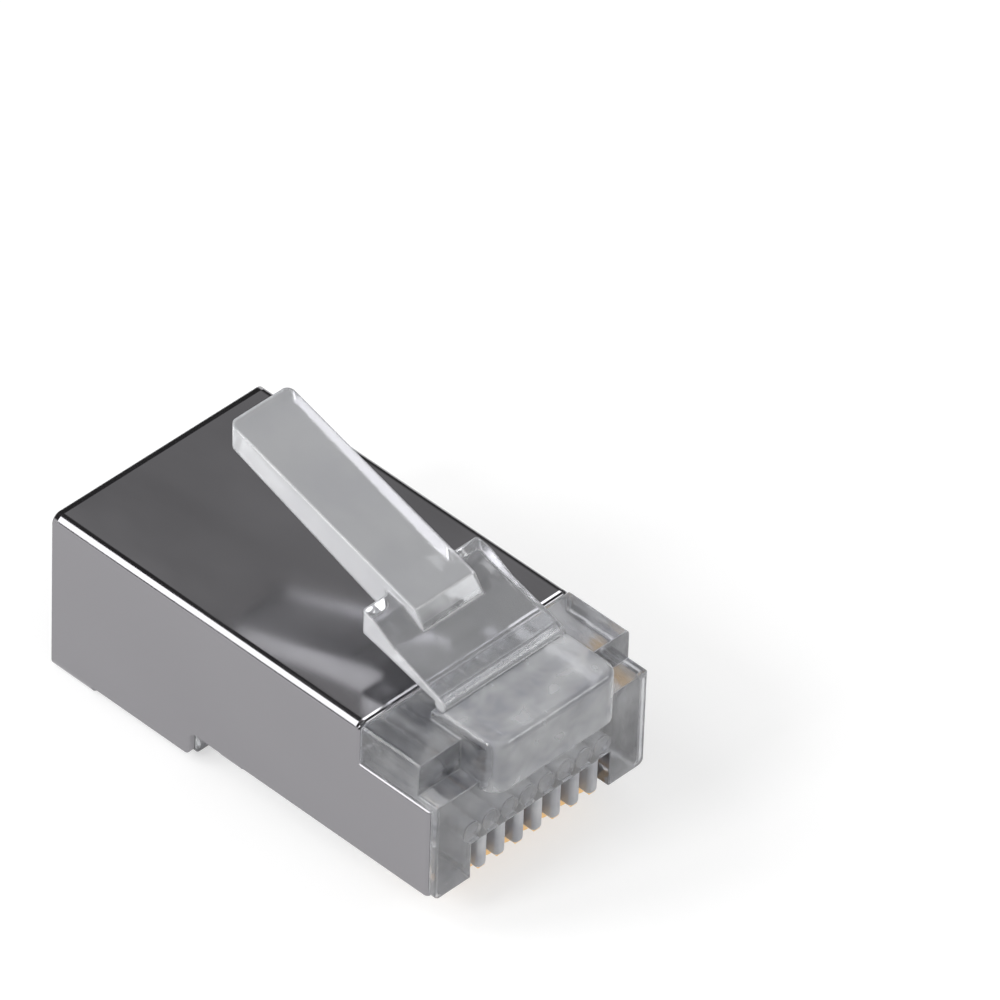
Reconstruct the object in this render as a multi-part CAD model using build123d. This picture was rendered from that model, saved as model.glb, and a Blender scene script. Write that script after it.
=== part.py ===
from build123d import *
from math import radians, tan
import os

# Shielded eight-way modular plug: clear moulded housing, folded metal shield, eight blades, latch.
# X runs across the plug, Y from the nose to the cable end, and Z up towards the latch. Lengths are
# measured from the front of the nose and heights from its contact face. Sizes are in millimetres.

# Body
body_width = 11.5
body_length = 21.1
body_height = 6.25
block_start = 13.35
block_drop = 1.35
rear_inset = 0.2
flush_inset = 0.02

# Shield, folded from one sheet
sheet = 0.25
sheet_edge = 0.2
seat_gap = 0.03
bend_radius = 0.42
top_start = 4.2
side_start = 0.35
cheek_height = 4.35
skirt_gap = 0.15
outline_radius = 0.3
flap_length = 2.25
seam_gap = 0.14
seam_shift = -0.3
clip_start = 10.6
clip_width = 1.1
clip_reach = 1.45
clip_radius = 0.36
hook_depth = 0.6
hook_gap = 0.15

# Contacts
contact_count = 8
contact_pitch = 1.016
blade_thickness = 0.35
blade_clearance = 0.03
blade_front = 1.0
blade_length = 3.35
blade_proud = 1.0
blade_depth = 0.75
blade_corner = 0.35
front_chamfer = 0.25
foot_reach = 0.38
foot_height = 0.38
foot_depth = 0.2
prong_count = 3
prong_length = 0.85

# Nose
upper_face = 1.05
ledge_height = 4.77
nose_shoulder = 0.25
nose_edge = 0.06
sole_edge = 0.3
comb_slot = 0.5
comb_depth = 0.9
comb_height = 1.77
toe_setback = 0.05
toe_radius = 0.25
toe_side_radius = 0.2
slot_tail = 1.45

# Latch root block on the nose
root_width = 6.9
root_overhang = 0.8
root_low = 4.4
root_rise = 0.6
root_corner = 0.8
root_edge = 0.3

# Wire space inside the housing
channel_width = 0.92
channel_height = 2.1
channel_front = 0.45
lead_start = 6.0
lead_low = 0.55
lead_high = 2.6
hall_start = 8.3
hall_flare = 1.6
hall_low = 0.75
hall_high = 3.9
window_start = 9.9
window_length = 2.6
window_rib = 0.95
entry_start = 14.0
entry_width = 9.2
entry_low = -0.5
entry_high = 5.15
entry_corner = 1.1
funnel_length = 0.9

# Strain relief tongue in the rear block
pocket_start = 15.0
pocket_length = 3.55
pocket_width = 8.9
tongue_width = 8.1
tongue_length = 3.2
tongue_web = 0.55
tongue_thickness = 0.85
tongue_drop = 0.2
tongue_lift = 1.15

# Latch
hinge_place = 2.4
hinge_rise = 0.7
knuckle_radius = 0.28
knuckle_clearance = 0.04
plate_width = 6.5
shoulder_place = 6.8
shoulder_rise = 2.68
shoulder_height = 1.07
shoulder_width = 6.25
shoulder_corner = 0.15
crease_place = 4.95
crease_rise = 1.85
ramp_end = 6.05
ramp_rise = 2.5
handle_width = 3.25
handle_front = 5.45
handle_rise = 2.63
handle_slope = 16.8
handle_end = 15.65
neck_end = 7.7
neck_rise = 1.76
tip_thickness = 1.08
tip_corner = 0.35
handle_blend = 0.35

half_width = body_width / 2
sheet_half = half_width - sheet
core_half = sheet_half - seat_gap
core_top = body_height - sheet - seat_gap
core_bottom = seat_gap - block_drop
core_end = body_length - rear_inset
nose_half = half_width - flush_inset
nose_back = side_start - seat_gap
cheek_low = cheek_height + seat_gap
upper_back = top_start - seat_gap
flap_start = body_length - flap_length
channel_low = channel_height - channel_width / 2
window_half = half_width - clip_reach + sheet + hook_gap
comb_half = contact_pitch * (contact_count - 1) / 2 + comb_slot / 2
overlap = 0.05
past = 1.0


def block(x, y, z):
    """A box between the low and high values given for each axis."""
    sides = [high - low for low, high in (x, y, z)]
    return Pos(x[0], y[0], z[0]) * Box(*sides, align=(Align.MIN, Align.MIN, Align.MIN))


def across(points, low, high):
    """An outline in Y and Z, swept across the plug from X low to X high."""
    return extrude(Plane.YZ.offset(low) * make_face(Polyline(*points, close=True)), high - low)


def upward(points, low, high):
    """An outline in X and Y, swept up from Z low to Z high."""
    return extrude(Plane.XY.offset(low) * make_face(Polyline(*points, close=True)), high - low)


def contact_places():
    """X of each contact, the first at the low end."""
    first = -contact_pitch * (contact_count - 1) / 2
    return [first + contact_pitch * index for index in range(contact_count)]


def finger_places():
    """X of each finger between two contacts."""
    return [place + contact_pitch / 2 for place in contact_places()[:-1]]


def along_y(shape):
    return shape.edges().filter_by(Axis.Y)


def body_core():
    """The moulding inside the shield, with the taller block at its cable end."""
    outline = [
        (nose_back, 0),
        (block_start, 0),
        (block_start, core_bottom),
        (core_end, core_bottom),
        (core_end, core_top),
        (upper_face, core_top),
        (upper_face, ledge_height),
        (nose_back, ledge_height),
    ]
    core = across(outline, -core_half, core_half)
    corners = along_y(core).group_by(Axis.Z)
    core = fillet(corners[-1], bend_radius)
    lower = along_y(core).group_by(Axis.Z)
    return fillet(lower[0] + lower[1], bend_radius - sheet / 2)


def nose():
    """The bare front of the moulding, level with the outside of the shield and stepped at its top."""
    outline = [
        (0, 0),
        (nose_back, 0),
        (nose_back, cheek_low),
        (upper_back, cheek_low),
        (upper_back, body_height),
        (upper_face, body_height),
        (upper_face, ledge_height),
        (0, ledge_height),
    ]
    shape = across(outline, -nose_half, nose_half)
    top = along_y(shape).group_by(Axis.Z)[-1]
    shape = fillet(top, nose_shoulder)
    sole = along_y(shape).group_by(Axis.Z)[0]
    shape = fillet(sole, sole_edge)
    front = shape.edges().filter_by(Axis.Z).group_by(Axis.Y)[0]
    return fillet(front, nose_edge)


def root_block():
    """The block that carries the latch, with rounded ends standing proud of the nose."""
    back = hinge_place + knuckle_radius
    top = body_height + root_rise
    outline = [
        (-root_overhang, root_low),
        (upper_face + overlap, root_low),
        (upper_face + overlap, core_top),
        (back, core_top),
        (back, top),
        (-root_overhang, top),
    ]
    shape = across(outline, -root_width / 2, root_width / 2)
    front = shape.edges().filter_by(Axis.Z).group_by(Axis.Y)[0]
    shape = fillet(front, root_corner)
    rim = shape.faces().filter_by(Axis.Z).sort_by(Axis.Z)[-1].edges().sort_by(Axis.Y)[:3]
    return fillet(rim, root_edge)


def latch_seat():
    """The trough for the latch's knuckle, and the room that its plate needs behind the axis."""
    axis_height = body_height + hinge_rise
    trough_radius = knuckle_radius + knuckle_clearance
    trough = Pos(0, hinge_place, axis_height) * Rot(0, 90, 0) * Cylinder(trough_radius, root_width + past)
    floor = axis_height - trough_radius
    room = block(
        (-root_width, root_width), (hinge_place, hinge_place + root_width), (floor, floor + root_width)
    )
    return trough + room


def finger(place):
    """One finger of the front comb, rounded at its toe and along its two sides."""
    half = (contact_pitch - comb_slot) / 2
    back = comb_depth + overlap
    top = comb_height + overlap
    shape = block((place - half, place + half), (toe_setback, back), (0, top))
    toe = shape.edges().filter_by(Axis.X).group_by(Axis.Z)[0].sort_by(Axis.Y)[0]
    shape = fillet(toe, toe_radius)
    corner = shape.edges().filter_by(Axis.Z).group_by(Axis.Y)[0]
    curve = shape.edges().filter_by(GeomType.CIRCLE)
    sole = shape.edges().filter_by(Axis.Y).group_by(Axis.Z)[0]
    return fillet(corner + curve + sole, toe_side_radius)


def blade_slot(place):
    """The slot that holds one blade, open to the contact face and down to its wire channel."""
    width = blade_thickness + 2 * blade_clearance
    front = comb_depth - overlap
    end = blade_front + blade_length + slot_tail
    straight = end - width / 2
    low = -past
    high = channel_low + overlap
    slot = block((place - width / 2, place + width / 2), (front, straight), (low, high))
    tail = Pos(place, straight, (low + high) / 2) * Cylinder(width / 2, high - low)
    return slot + tail


def wire_channel(place):
    """The round channel for one wire, with the taller lead-in behind it."""
    length = lead_start + overlap - channel_front
    middle = channel_front + length / 2
    bore = Pos(place, middle, channel_height) * Rot(90, 0, 0) * Cylinder(channel_width / 2, length)
    lead = block(
        (place - channel_width / 2, place + channel_width / 2),
        (lead_start, hall_start + overlap),
        (lead_low, lead_high),
    )
    return bore + lead


def wire_hall():
    """The flat space over the window, flaring from the channels to the cable entry."""
    channels_half = contact_pitch * (contact_count - 1) / 2 + channel_width / 2
    end = entry_start - funnel_length
    flare = hall_start + hall_flare
    half = window_half
    plan = [
        (-channels_half, hall_start),
        (channels_half, hall_start),
        (half, flare),
        (half, end),
        (-half, end),
        (-half, flare),
    ]
    side = [
        (hall_start, lead_low),
        (flare, hall_low),
        (end, hall_low),
        (end, hall_high),
        (flare, hall_high),
        (hall_start, lead_high),
    ]
    return upward(plan, hall_low - past, hall_high + past) & across(side, -half - past, half + past)


def cable_entry():
    """The rounded mouth for the cable, and the funnel from it to the wire space."""

    def frame(y, width, low, high, corner):
        opening = Pos(0, (low + high) / 2) * RectangleRounded(width, high - low, corner)
        return Plane.XZ.offset(-y) * opening

    mouth_end = core_end + past
    mouth = extrude(
        frame(mouth_end, entry_width, entry_low, entry_high, entry_corner), mouth_end - entry_start
    )
    rear = frame(entry_start, entry_width, entry_low, entry_high, entry_corner)
    front = frame(
        entry_start - funnel_length - overlap, 2 * window_half, hall_low, hall_high, entry_corner / 2
    )
    return mouth + loft([rear, front])


def windows():
    """The pair of windows in the contact face, with a rib left between them."""
    inner = window_rib / 2
    length = (window_start, window_start + window_length)
    depth = (-past, hall_low + overlap)
    return block((-window_half, -inner), length, depth) + block((inner, window_half), length, depth)


def pocket():
    """The opening in the rear block for the strain relief tongue."""
    half = pocket_width / 2
    length = (pocket_start, pocket_start + pocket_length)
    return block((-half, half), length, (core_bottom - past, entry_low + overlap))


def tongue():
    """The strain relief tongue: a thin web at its front, then a thick bar sloping into the entry."""
    root = pocket_start - overlap
    low = core_bottom + tongue_drop
    end = pocket_start + tongue_length
    outline = [
        (root, low),
        (pocket_start + tongue_web, low),
        (end, low + tongue_lift),
        (end - tongue_thickness / 2, low + tongue_lift + tongue_thickness),
        (pocket_start + tongue_web, low + tongue_web),
        (root, low + tongue_web),
    ]
    return across(outline, -tongue_width / 2, tongue_width / 2)


def make_housing():
    """The whole moulding apart from its latch."""
    comb = block((-comb_half, comb_half), (-past, comb_depth), (-past, comb_height))
    shape = body_core() + nose() + root_block()
    shape -= latch_seat()
    shape -= comb
    for place in finger_places():
        shape += finger(place)
    shape -= cable_entry()
    shape -= wire_hall()
    shape -= windows()
    shape -= pocket()
    shape += tongue()
    for place in contact_places():
        shape -= wire_channel(place)
        shape -= blade_slot(place)
    return shape


def make_contact(place):
    """One blade: a proud top edge, a stepped foot at the front and prongs towards the wire."""
    rear = blade_front + blade_length
    foot = blade_front - foot_reach
    foot_low = foot_depth
    foot_top = -blade_proud + foot_height
    prong_pitch = blade_length / prong_count
    outline = [
        (foot, foot_low),
        (foot, foot_top),
        (blade_front, foot_top),
        (blade_front, -blade_proud + front_chamfer),
        (blade_front + front_chamfer, -blade_proud),
        (rear, -blade_proud),
        (rear, blade_depth),
    ]
    for index in range(prong_count):
        start = rear - prong_pitch * index
        outline.append((start - prong_pitch / 2, blade_depth + prong_length))
        outline.append((start - prong_pitch, blade_depth))
    outline.append((blade_front, foot_low))
    half = blade_thickness / 2
    blade = across(outline, place - half, place + half)
    crown = blade.edges().filter_by(Axis.X).group_by(Axis.Z)[0].sort_by(Axis.Y)[-1]
    return fillet(crown, blade_corner)


def clip(side):
    """The strip folded from one side of the shield over the housing and down into a window."""
    outer = half_width
    inner = half_width - clip_reach
    strip_top = -seat_gap
    middle = (outer + inner) / 2
    depth = hook_depth + sheet

    def frame(width, low, radius):
        height = depth + past - low
        return Pos(middle, low + height / 2) * RectangleRounded(width, height, radius)

    strip = frame(clip_reach, strip_top - sheet, clip_radius)
    strip -= frame(clip_reach - 2 * sheet, strip_top, clip_radius - sheet)
    ribbon = extrude(Plane.XZ.offset(-clip_start - clip_width) * strip, clip_width)
    ribbon -= block((inner - past, outer + past), (0, body_length), (hook_depth, body_height))
    return ribbon if side > 0 else mirror(ribbon, Plane.YZ)


def outer_rim(shape):
    """The long outer edges of the sheet round its opening at the nose."""
    rim = []
    for edge in shape.edges().filter_by_position(Axis.Y, side_start - overlap, top_start + overlap):
        middle = edge @ 0.5
        depth = min(half_width - abs(middle.X), body_height - middle.Z)
        if edge.length > 2 * sheet and depth < 0.6 * sheet:
            rim.append(edge)
    return rim


def make_shield():
    """One sheet folded round the housing, with two flaps under the rear block and two clips."""
    floor = -block_drop - sheet
    height = body_height - floor
    middle = (body_height + floor) / 2
    ring = Pos(0, middle) * RectangleRounded(body_width, height, bend_radius)
    ring -= Pos(0, middle) * RectangleRounded(2 * sheet_half, height - 2 * sheet, bend_radius - sheet)
    shape = extrude(Plane.XZ.offset(-body_length) * ring, body_length - side_start)
    wide = (-body_width, body_width)
    skirt = -block_drop + skirt_gap
    outside = [
        (side_start - past, -block_drop - past),
        (flap_start, -block_drop - past),
        (flap_start, skirt),
        (block_start, skirt),
        (block_start, 0),
        (side_start - past, 0),
    ]
    below = across(outside, *wide)
    corners = below.edges().filter_by(Axis.X)
    inner = [edge for edge in corners if abs(edge.center().Y - block_start) < overlap]
    below = fillet(inner, outline_radius)
    shape -= below
    shape -= block(wide, (side_start - past, top_start), (cheek_height, body_height + past))
    shape = fillet(outer_rim(shape), sheet_edge)
    seam = (seam_shift - seam_gap / 2, seam_shift + seam_gap / 2)
    shape -= block(seam, (flap_start - past, body_length + past), (floor - past, -block_drop + overlap))
    return shape + clip(1) + clip(-1)


def make_latch():
    """The latch: knuckle and plate at the nose, locking shoulders, and the handle above the shield."""
    axis_height = body_height + hinge_rise
    shoulder_top = body_height + shoulder_rise
    shoulder_low = shoulder_top - shoulder_height
    plate_side = [
        (hinge_place, axis_height + knuckle_radius),
        (crease_place, body_height + crease_rise),
        (ramp_end, body_height + ramp_rise),
        (shoulder_place, shoulder_top),
        (shoulder_place, shoulder_low),
        (hinge_place, axis_height),
    ]
    root_half = plate_width / 2
    plate = across(plate_side, -root_half, root_half)
    shoulder_half = shoulder_width / 2
    plan = [
        (-root_half, hinge_place),
        (root_half, hinge_place),
        (shoulder_half, shoulder_place),
        (-shoulder_half, shoulder_place),
    ]
    plate &= upward(plan, body_height, body_height + plate_width)
    corners = plate.edges().filter_by(Axis.Z).group_by(Axis.Y)[-1]
    plate = fillet(corners, shoulder_corner)
    knuckle = Pos(0, hinge_place, axis_height) * Rot(0, 90, 0) * Cylinder(knuckle_radius, plate_width)

    rise = tan(radians(handle_slope))
    front_top = body_height + handle_rise
    tip_top = front_top + rise * (handle_end - handle_front)
    handle_side = [
        (crease_place, body_height + crease_rise - overlap),
        (crease_place, body_height + crease_rise + overlap),
        (handle_front, front_top),
        (handle_end, tip_top),
        (handle_end, tip_top - tip_thickness),
        (neck_end, body_height + neck_rise),
        (shoulder_place, shoulder_low),
    ]
    handle = across(handle_side, -handle_width / 2, handle_width / 2)
    tip = handle.edges().filter_by(Axis.Z).group_by(Axis.Y)[-1]
    handle = fillet(tip, tip_corner)
    shape = knuckle + plate + handle
    notches = shape.edges().filter_by(Axis.Z).filter_by_position(
        Axis.X, -handle_width / 2 - overlap, handle_width / 2 + overlap
    )
    return fillet(notches.filter_by_position(Axis.Y, shoulder_place - overlap, neck_end), handle_blend)


def main():
    """Write each piece with the origin under the middle of the plug, at the height it rests on."""
    place = Pos(0, -(body_length - root_overhang) / 2, block_drop + sheet)
    pieces = {"housing": make_housing(), "shield": make_shield(), "latch_tab": make_latch()}
    for number, x in enumerate(contact_places(), start=1):
        pieces[f"contact_{number}"] = make_contact(x)
    os.makedirs("parts", exist_ok=True)
    for name, shape in pieces.items():
        export_step(place * shape, f"parts/{name}.step")


main()
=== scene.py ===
"""Looks, floor, light and camera of the shielded modular plug.

Lengths are in metres and places in the CAD's frame at rest: X goes across the plug, Y from its
nose to its cable end and Z up. Angles are in degrees. Colours and greys are linear.
"""
import math

import bmesh
import bpy
from mathutils import Euler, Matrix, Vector


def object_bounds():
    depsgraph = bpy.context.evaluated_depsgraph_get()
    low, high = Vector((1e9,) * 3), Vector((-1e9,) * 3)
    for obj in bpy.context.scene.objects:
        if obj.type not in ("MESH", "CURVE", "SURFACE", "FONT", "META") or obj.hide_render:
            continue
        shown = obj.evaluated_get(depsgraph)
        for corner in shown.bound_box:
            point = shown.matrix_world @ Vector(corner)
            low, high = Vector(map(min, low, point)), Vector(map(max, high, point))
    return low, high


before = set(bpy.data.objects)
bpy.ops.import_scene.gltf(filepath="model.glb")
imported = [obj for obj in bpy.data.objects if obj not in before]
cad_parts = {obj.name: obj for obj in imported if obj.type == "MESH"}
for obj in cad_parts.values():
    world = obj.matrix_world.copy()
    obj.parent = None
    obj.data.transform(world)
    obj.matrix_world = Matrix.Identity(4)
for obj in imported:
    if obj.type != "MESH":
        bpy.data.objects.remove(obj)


def plain_box():
    """The bounds of the whole object as plain lists of numbers."""
    low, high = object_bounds()
    return [[float(value) for value in low], [float(value) for value in high]]


cad_box = plain_box()


# Nodes


WHITE = (1.0, 1.0, 1.0, 1.0)
BEVEL_SAMPLES = 6
BOX_SOFTNESS = 0.94  # share of a box's half size where its strength starts to fade


class Nodes:
    """A short way to add nodes to one node tree and link them."""

    def __init__(self, tree):
        self.tree = tree
        tree.nodes.clear()

    def add(self, kind, inputs=None, **settings):
        """Add a node. Inputs that are sockets are linked, the others are set as values."""
        node = self.tree.nodes.new(kind)
        for name, value in settings.items():
            setattr(node, name, value)
        for name, value in (inputs or {}).items():
            socket = node.inputs[name]
            if isinstance(value, bpy.types.NodeSocket):
                self.tree.links.new(value, socket)
            else:
                socket.default_value = value
        return node

    def calculate(self, operation, *values):
        """The result of one math node on one or two values."""
        return self.add("ShaderNodeMath", dict(enumerate(values)), operation=operation).outputs[0]

    def split(self, vector):
        """The X, Y and Z of a vector."""
        return self.add("ShaderNodeSeparateXYZ", {"Vector": vector}).outputs


def new_material(name):
    """A new material and the short way to fill it."""
    material = bpy.data.materials.new(name)
    material.use_nodes = True
    return material, Nodes(material.node_tree)


def own_place(nodes):
    """The place in the piece's own coordinates, so that the pattern rides with the piece."""
    return nodes.add("ShaderNodeTexCoord").outputs["Object"]


def ramp(nodes, value, stops):
    """A colour ramp over the value given, as (place, grey) or (place, colour) stops."""
    node = nodes.add("ShaderNodeValToRGB", {"Fac": value})
    band = node.color_ramp
    while len(band.elements) < len(stops):
        band.elements.new(0.5)
    for element, (place, shade) in zip(band.elements, stops):
        colour = shade if isinstance(shade, tuple) else (shade, shade, shade)
        element.position = place
        element.color = (*colour, 1.0)
    return node.outputs["Color"]


def between(nodes, value, span, ends):
    """The value's way through the span, carried over to the way between the two ends."""
    inputs = {
        "Value": value,
        "From Min": span[0],
        "From Max": span[1],
        "To Min": ends[0],
        "To Max": ends[1],
    }
    return nodes.add("ShaderNodeMapRange", inputs).outputs["Result"]


def noise(nodes, place, scale, detail, pace=(1.0, 1.0, 1.0), swirl=0.0):
    """Noise with the scale in waves per metre. A pace under 1 draws it out along that axis."""
    mapping = nodes.add("ShaderNodeMapping", {"Vector": place, "Scale": pace})
    inputs = {
        "Vector": mapping.outputs["Vector"],
        "Scale": scale,
        "Detail": detail,
        "Distortion": swirl,
    }
    return nodes.add("ShaderNodeTexNoise", inputs).outputs["Fac"]


def bump(nodes, height, strength, distance, normal=None):
    """The normal given, or the plain one, turned by a height of distance times the value."""
    inputs = {"Height": height, "Strength": strength, "Distance": distance}
    if normal is not None:
        inputs["Normal"] = normal
    return nodes.add("ShaderNodeBump", inputs).outputs["Normal"]


def soft_edges(nodes, radius):
    """Normals that round the sharp edges off by the radius given."""
    bevel = nodes.add("ShaderNodeBevel", {"Radius": radius}, samples=BEVEL_SAMPLES)
    return bevel.outputs["Normal"]


def inside_box(nodes, place, low, high, strength):
    """The strength given inside a box between two corners, and 0 outside it."""
    middle = [(one + other) / 2 for one, other in zip(low, high)]
    half = [(other - one) / 2 for one, other in zip(low, high)]
    local = nodes.add(
        "ShaderNodeMapping",
        {"Vector": place, "Location": middle, "Scale": half},
        vector_type="TEXTURE",
    )
    away = nodes.add(
        "ShaderNodeVectorMath", {0: local.outputs["Vector"]}, operation="ABSOLUTE"
    )
    axes = nodes.split(away.outputs["Vector"])
    farthest = axes["X"]
    for axis in "YZ":
        farthest = nodes.calculate("MAXIMUM", farthest, axes[axis])
    return between(nodes, farthest, (BOX_SOFTNESS, 1.0), (strength, 0.0))


def finish_material(nodes, inputs):
    """Close a material with one principled shader that has the inputs given."""
    shader = nodes.add("ShaderNodeBsdfPrincipled", inputs)
    nodes.add("ShaderNodeOutputMaterial", {"Surface": shader.outputs["BSDF"]})


# Metals


GLOSS_SPAN = (0.3, 0.7)  # noise values of a metal's least and most rough patches

NICKEL_COLOUR = (0.288, 0.282, 0.296, 1.0)
NICKEL_ROUGHNESS = (0.11, 0.2)
NICKEL_CLOUDS = {"scale": 260.0, "detail": 4.0, "pace": (1.0, 0.45, 1.0)}
SHEET_SOFTNESS = 0.00007  # radius of the sheet's edges
WAVE_NOISE = {"scale": 90.0, "detail": 1.0}
WAVE_STRENGTH = 1.0
WAVE_HEIGHT = 0.0004
GRAIN_NOISE = {"scale": 5200.0, "detail": 2.0, "pace": (1.0, 0.12, 1.0)}
GRAIN_STRENGTH = 0.05
GRAIN_HEIGHT = 0.00001

# The top sheet lies above TOP_ABOVE, and its flat part goes from TOP_FRONT to TOP_REAR. A strip
# as wide as the press at either end is turned down by the drop, which catches the light.
TOP_ABOVE = 0.0076
TOP_FRONT = -0.00579
FRONT_PRESS = 0.00012
FRONT_DROP = 0.00011
TOP_REAR = 0.01095
REAR_PRESS = 0.00024
REAR_DROP = 0.00007

GOLD_COLOUR = (0.95, 0.66, 0.33, 1.0)
GOLD_ROUGHNESS = (0.16, 0.3)
GOLD_LINES = {"scale": 3000.0, "detail": 2.0, "pace": (1.0, 0.15, 1.0)}
GOLD_STRENGTH = 0.1
GOLD_HEIGHT = 0.00001


def pressed_edges(nodes, place, normal):
    """The normal of the top sheet, turned down a little way at its cut front and rear edges."""
    axes = nodes.split(place)
    top = nodes.calculate("GREATER_THAN", axes["Z"], TOP_ABOVE)
    front_span = (TOP_FRONT, TOP_FRONT + FRONT_PRESS)
    rear_span = (TOP_REAR - REAR_PRESS, TOP_REAR)
    front = between(nodes, axes["Y"], front_span, (-FRONT_DROP, 0.0))
    rear = between(nodes, axes["Y"], rear_span, (0.0, -REAR_DROP))
    lowest = nodes.calculate("MINIMUM", front, rear)
    height = nodes.calculate("MULTIPLY", lowest, top)
    return bump(nodes, height, strength=1.0, distance=1.0, normal=normal)


def nickel_material():
    """Bright nickel on rolled sheet: not quite flat, with a soft gloss along the roll."""
    material, nodes = new_material("nickel")
    place = own_place(nodes)
    clouds = noise(nodes, place, **NICKEL_CLOUDS)
    wave = noise(nodes, place, **WAVE_NOISE)
    grain = noise(nodes, place, **GRAIN_NOISE)
    normal = pressed_edges(nodes, place, soft_edges(nodes, SHEET_SOFTNESS))
    normal = bump(nodes, wave, WAVE_STRENGTH, WAVE_HEIGHT, normal)
    normal = bump(nodes, grain, GRAIN_STRENGTH, GRAIN_HEIGHT, normal)
    inputs = {
        "Base Color": NICKEL_COLOUR,
        "Metallic": 1.0,
        "Roughness": ramp(nodes, clouds, list(zip(GLOSS_SPAN, NICKEL_ROUGHNESS))),
        "Normal": normal,
    }
    finish_material(nodes, inputs)
    return material


def gold_material():
    """Thin gold plate on stamped blades, with the fine lines of the stamping."""
    material, nodes = new_material("gold")
    lines = noise(nodes, own_place(nodes), **GOLD_LINES)
    inputs = {
        "Base Color": GOLD_COLOUR,
        "Metallic": 1.0,
        "Roughness": ramp(nodes, lines, list(zip(GLOSS_SPAN, GOLD_ROUGHNESS))),
        "Normal": bump(nodes, lines, GOLD_STRENGTH, GOLD_HEIGHT),
    }
    finish_material(nodes, inputs)
    return material


# Plastics


CLOUD_SPAN = (0.38, 0.66)  # noise values of a clear patch and of a cloudy one
CLOUD_DETAIL = 2.0
CLOUD_SWIRL = 0.3
SIDE_SPAN = (0.6, 0.95)  # how far sideways a surface faces: not yet a side wall, and wholly one
RIM_HIGHLIGHT_SPAN = (0.78, 0.97)  # likeness of the rounded normal and the flat one: an edge, and none
RIM_HIGHLIGHT_CLEAR = 0.35  # share of the clearness that is left at an edge, which then shows pale: a painted highlight
RIPPLE_NOISE = {"scale": 650.0, "detail": 2.0}
RIPPLE_HEIGHT = 0.0001
PLASTIC_IOR = 1.5
COAT_WEIGHT = 0.5
COAT_ROUGHNESS = 0.04

# Frosted boxes: two corners and the strength of the frost
COMB = ((-0.0038, -0.0103, 0.0014), (0.0038, -0.0092, 0.00337), 1.0)
BLADE_SLOTS = ((-0.0047, -0.0096, 0.0019), (0.0047, -0.0045, 0.0059), 0.85)
# The root block's frost is partly a matt finish and partly painted light: it makes the block
# paler in place of light carried through it.
ROOT_BLOCK = ((-0.00345, -0.0112, 0.0060), (0.00345, -0.00747, 0.0086), 0.45)
HANDLE = ((-0.00165, -0.0052, 0.0099), (0.00165, 0.0062, 0.0150), 1.0)


def plastic_material(
    name, colours, roughness, clearness, ripple, softness, cloud_size, frosted, walls=None
):
    """Clear moulded plastic: clouded in patches, frosted in some boxes and milky at its edges as
    a painted highlight.

    The colours are those of a clear patch and a cloudy one, and the roughness and the clearness
    those of a clear patch, a cloudy one and a frosted one. Where walls are given, the first is
    the clearness of the side walls, low so that they show pale, and the second that of all
    surfaces seen from inside, high so that the shade inside doesn't show: both are painted light.
    """
    material, nodes = new_material(name)
    place = own_place(nodes)
    cloud = noise(nodes, place, 1.0 / cloud_size, CLOUD_DETAIL, swirl=CLOUD_SWIRL)
    frost = 0.0
    for low, high, strength in frosted:
        box = inside_box(nodes, place, low, high, strength)
        frost = nodes.calculate("MAXIMUM", box, frost)
    rough = between(nodes, cloud, CLOUD_SPAN, roughness[:2])
    rough = between(nodes, frost, (0.0, 1.0), (rough, roughness[2]))
    clear = between(nodes, cloud, CLOUD_SPAN, clearness[:2])
    clear = between(nodes, frost, (0.0, 1.0), (clear, clearness[2]))
    surface = nodes.add("ShaderNodeNewGeometry")
    flat = surface.outputs["Normal"]
    # Side walls with less clearness show pale, and a clear inside shows no shade: painted light.
    if walls is not None:
        pale_side_clear, unshaded_inside_clear = walls
        sideways = nodes.calculate("ABSOLUTE", nodes.split(flat)["X"])
        clear = between(nodes, sideways, SIDE_SPAN, (clear, pale_side_clear))
        clear = between(nodes, surface.outputs["Backfacing"], (0.0, 1.0), (clear, unshaded_inside_clear))
    rounded = soft_edges(nodes, softness)
    likeness = nodes.add("ShaderNodeVectorMath", {0: rounded, 1: flat}, operation="DOT_PRODUCT")
    # Edges lose clearness and show as pale rims: a painted highlight.
    edges = between(nodes, likeness.outputs["Value"], RIM_HIGHLIGHT_SPAN, (RIM_HIGHLIGHT_CLEAR, 1.0))
    normal = bump(nodes, noise(nodes, place, **RIPPLE_NOISE), ripple, RIPPLE_HEIGHT, rounded)
    inputs = {
        "Base Color": ramp(nodes, cloud, list(zip(CLOUD_SPAN, colours))),
        "Roughness": rough,
        "IOR": PLASTIC_IOR,
        "Transmission Weight": nodes.calculate("MULTIPLY", clear, edges),
        "Coat Weight": COAT_WEIGHT,
        "Coat Roughness": COAT_ROUGHNESS,
        "Normal": normal,
        "Coat Normal": normal,
    }
    finish_material(nodes, inputs)
    return material


# Dressing


def dress(node, material):
    """Give every slot of one CAD node the material."""
    obj = bpy.data.objects[node]
    if not obj.material_slots:
        obj.data.materials.append(material)
    for slot in obj.material_slots:
        slot.material = material


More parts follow.
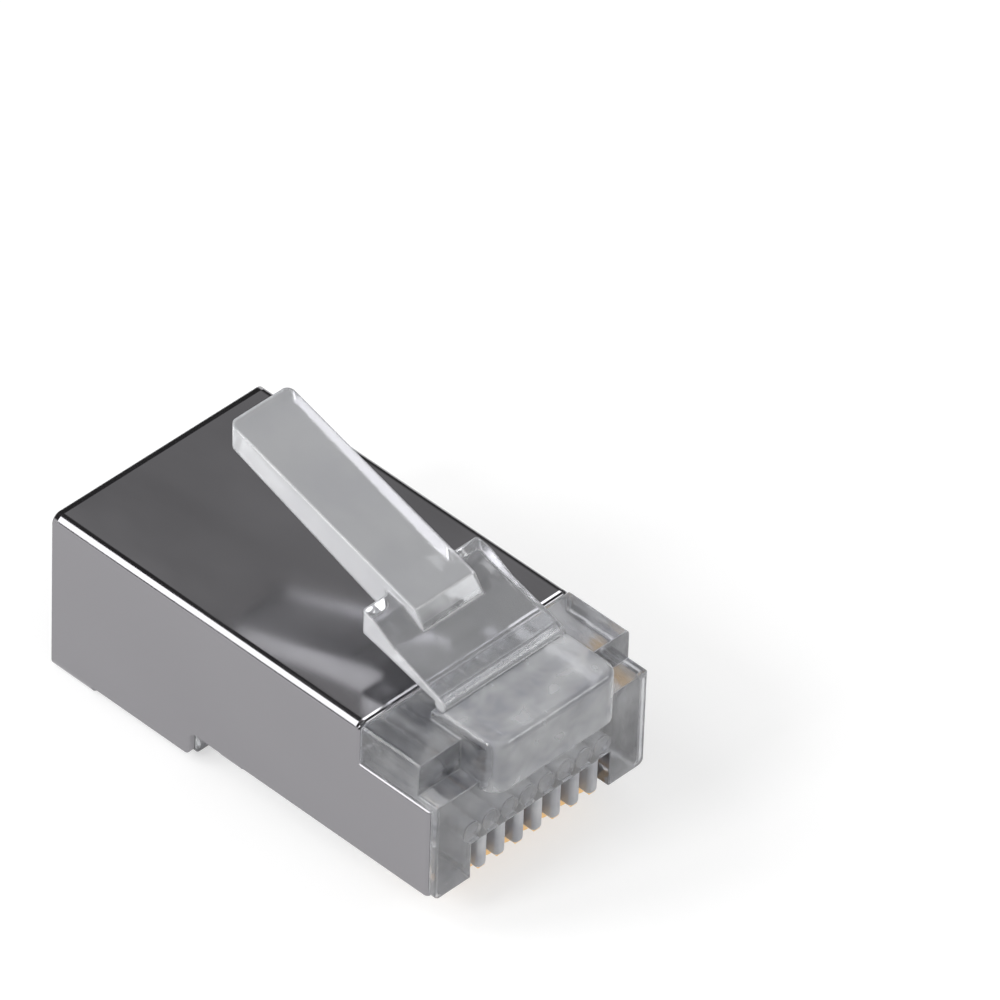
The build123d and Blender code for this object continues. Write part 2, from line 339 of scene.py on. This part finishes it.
nickel = nickel_material()
gold = gold_material()
body_plastic = plastic_material(
    "body_plastic",
    colours=((0.64, 0.65, 0.695), (0.92, 0.93, 0.95)),
    roughness=(0.12, 0.22, 0.36),
    clearness=(0.90, 0.79, 0.22),
    ripple=0.7,
    softness=0.0001,
    cloud_size=0.0016,
    frosted=[COMB, BLADE_SLOTS, ROOT_BLOCK],
)
latch_plastic = plastic_material(
    "latch_plastic",
    colours=((0.91, 0.92, 0.95), (0.96, 0.97, 0.99)),
    roughness=(0.03, 0.1, 0.12),
    clearness=(0.79, 0.77, 0.60),
    ripple=0.15,
    softness=0.0002,
    cloud_size=0.0024,
    frosted=[HANDLE],
    # Milky side walls that show pale, and a clear inside that hides its shade: painted light.
    walls=(0.42, 0.93),
)
dress("shield", nickel)
dress("housing", body_plastic)
dress("latch_tab", latch_plastic)
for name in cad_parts:
    if name.startswith("contact_"):
        dress(name, gold)


# Floor


FLOOR_RADIUS = 1.5
FLOOR_SEGMENTS = 96
FLOOR_DROP = 0.00002  # gap under the plug
FLOOR_GREY = 0.55
FLOOR_LIFT = 0.57  # strength of the light added where the floor shows as the background


def shown(nodes):
    """1 for the rays that show the background: to the camera, in metal and through plastic."""
    path = nodes.add("ShaderNodeLightPath").outputs
    both = nodes.calculate("MAXIMUM", path["Is Glossy Ray"], path["Is Transmission Ray"])
    return nodes.calculate("MAXIMUM", path["Is Camera Ray"], both)


def floor_material():
    """Pale matt paper, lifted to white where it shows as the background."""
    material, nodes = new_material("paper")
    grey = (FLOOR_GREY, FLOOR_GREY, FLOOR_GREY, 1.0)
    matt = nodes.add("ShaderNodeBsdfDiffuse", {"Color": grey})
    lift = nodes.calculate("MULTIPLY", shown(nodes), FLOOR_LIFT)
    glow = nodes.add("ShaderNodeEmission", {"Color": WHITE, "Strength": lift})
    both = nodes.add("ShaderNodeAddShader", {0: matt.outputs[0], 1: glow.outputs[0]})
    nodes.add("ShaderNodeOutputMaterial", {"Surface": both.outputs[0]})
    return material


def make_floor():
    """A round sheet of paper just under the plug."""
    mesh = bpy.data.meshes.new("floor")
    shape = bmesh.new()
    bmesh.ops.create_circle(shape, cap_ends=True, radius=FLOOR_RADIUS, segments=FLOOR_SEGMENTS)
    shape.to_mesh(mesh)
    shape.free()
    floor = bpy.data.objects.new("floor", mesh)
    floor.location.z = cad_box[0][2] - FLOOR_DROP
    mesh.materials.append(floor_material())
    bpy.context.collection.objects.link(floor)


make_floor()


# Light


WORLD_FILL = 0.45  # strength of the even fill
LAMP_AWAY = 0.6  # from the middle of the plug's base to each lamp

# The dome's greys by height, from the horizon at 0 to straight overhead at 1
DOME_STOPS = [
    (0.0, 1.0),
    (0.06, 1.0),
    (0.12, 0.05),
    (0.45, 0.05),
    (0.6, 0.27),
    (0.69, 0.52),
    (0.75, 0.05),
    (0.86, 0.05),
    (0.92, 0.5),
]


def make_world():
    """A dome in bands of grey for the rays that show it, and an even fill for the others."""
    world = bpy.data.worlds.new("studio")
    bpy.context.scene.world = world
    world.use_nodes = True
    nodes = Nodes(world.node_tree)
    direction = nodes.add("ShaderNodeTexCoord").outputs["Generated"]
    grey = ramp(nodes, nodes.split(direction)["Z"], DOME_STOPS)
    dome = nodes.add("ShaderNodeBackground", {"Color": grey, "Strength": 1.0})
    fill = nodes.add("ShaderNodeBackground", {"Color": WHITE, "Strength": WORLD_FILL})
    both = nodes.add(
        "ShaderNodeMixShader", {0: shown(nodes), 1: fill.outputs[0], 2: dome.outputs[0]}
    )
    nodes.add("ShaderNodeOutputWorld", {"Surface": both.outputs[0]})


def make_lamp(name, azimuth, elevation, size, radiance, roll=0.0):
    """A softbox aimed at the plug. Azimuth 0 is in front of its nose, and 90 is towards +X."""
    turn = math.radians(azimuth)
    tilt = math.radians(elevation)
    away = Vector(
        (math.sin(turn) * math.cos(tilt), -math.cos(turn) * math.cos(tilt), math.sin(tilt))
    )
    data = bpy.data.lights.new(name, "AREA")
    data.shape = "RECTANGLE"
    data.size, data.size_y = size
    data.energy = radiance * math.pi * size[0] * size[1]
    lamp = bpy.data.objects.new(name, data)
    lamp.location = away * LAMP_AWAY
    rolled = Euler((0.0, 0.0, math.radians(roll))).to_quaternion()
    lamp.rotation_euler = (away.to_track_quat("Z", "Y") @ rolled).to_euler()
    bpy.context.collection.objects.link(lamp)


make_world()
make_lamp(
    "back_strip", azimuth=-134.0, elevation=36.0, size=(0.24, 0.53), radiance=3.8, roll=20.0
)
make_lamp("left_softbox", azimuth=-99.0, elevation=37.0, size=(0.16, 0.16), radiance=14.0)
make_lamp("front_softbox", azimuth=39.0, elevation=31.0, size=(0.2, 0.2), radiance=4.5)


# Camera


# Fitted to the photo
CAMERA_PLACE = (-0.264981, -0.257081, 0.333140)
CAMERA_TURN = (48.9927, -1.5779, -45.3335)
CAMERA_LENS = 459.53  # in millimetres
CAMERA_NEAR = 0.01
CAMERA_FAR = 20.0


def make_camera():
    """The photo's camera, which shows the CAD part where the left plug lies."""
    data = bpy.data.cameras.new("camera")
    data.lens = CAMERA_LENS
    data.clip_start = CAMERA_NEAR
    data.clip_end = CAMERA_FAR
    camera = bpy.data.objects.new("camera", data)
    camera.location = CAMERA_PLACE
    camera.rotation_euler = Euler([math.radians(angle) for angle in CAMERA_TURN])
    bpy.context.collection.objects.link(camera)
    bpy.context.scene.camera = camera


make_camera()
bpy.context.scene.view_settings.view_transform = "Standard"
